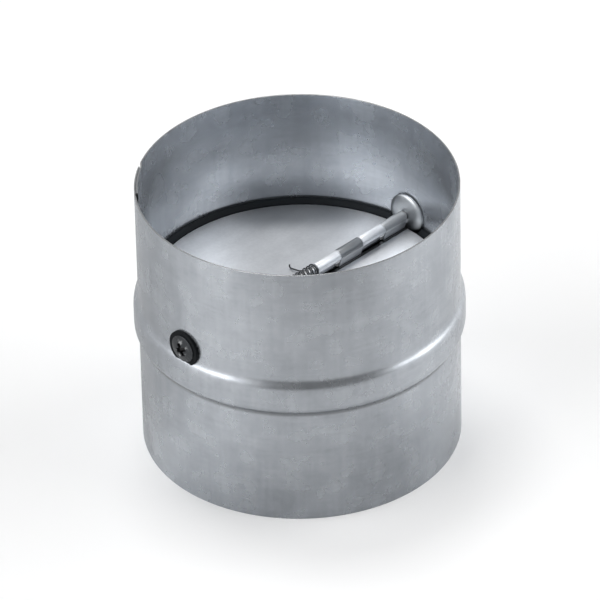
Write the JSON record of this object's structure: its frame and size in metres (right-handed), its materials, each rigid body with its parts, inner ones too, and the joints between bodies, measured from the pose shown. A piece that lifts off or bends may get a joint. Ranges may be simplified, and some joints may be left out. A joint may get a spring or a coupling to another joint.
{
  "type": "backdraft damper",
  "caption": "Short round duct section with two spring-closed half-disc blades on one axle, which open with the air flow and shut against a rubber ring.",
  "frame": {"origin": "centre of the lower rim, which is the bottom centre of the bounding box", "axes": "+Z along the duct axis in the direction of the air flow, towards the end that the blades open to; +X along the blades' axle"},
  "size_m": [0.103, 0.102, 0.09],
  "materials": {
    "galvanised_sheet": "dull zinc coat with faint spangle",
    "seal_rubber": "matte black",
    "axle_steel": "bright drawn",
    "bush_metal": "turned, satin",
    "washer_rubber": "matte black",
    "black_screw": "blackened, semi-gloss",
    "spring_steel": "dark oiled wire",
    "blade_aluminium": "mill finish sheet"
  },
  "bodies": {
    "housing": {"casing": "galvanised_sheet", "seal_ring": "seal_rubber", "axle": "axle_steel", "bush_right": "bush_metal", "bush_left": "bush_metal", "washer_right": "washer_rubber", "washer_left": "washer_rubber", "screw_right": "black_screw", "screw_left": "black_screw", "spring_coil": "spring_steel"},
    "rear_leaf": {"rear_blade": "blade_aluminium", "spring_leg_rear": "spring_steel"},
    "front_leaf": {"front_blade": "blade_aluminium", "spring_leg_front": "spring_steel"}
  },
  "joints": [
    {"name": "rear_blade_hinge", "type": "hinge", "parent": "housing", "child": "rear_leaf", "pos_m": [0, 0, 0.0548], "axis": [1, 0, 0], "range_deg": [0, 90], "stiffness_Nm_per_rad": 0.0005, "springref_deg": -57.3},
    {"name": "front_blade_hinge", "type": "hinge", "parent": "housing", "child": "front_leaf", "pos_m": [0, 0, 0.0548], "axis": [-1, 0, 0], "range_deg": [0, 90], "stiffness_Nm_per_rad": 0.0005, "springref_deg": -57.3}
  ]
}
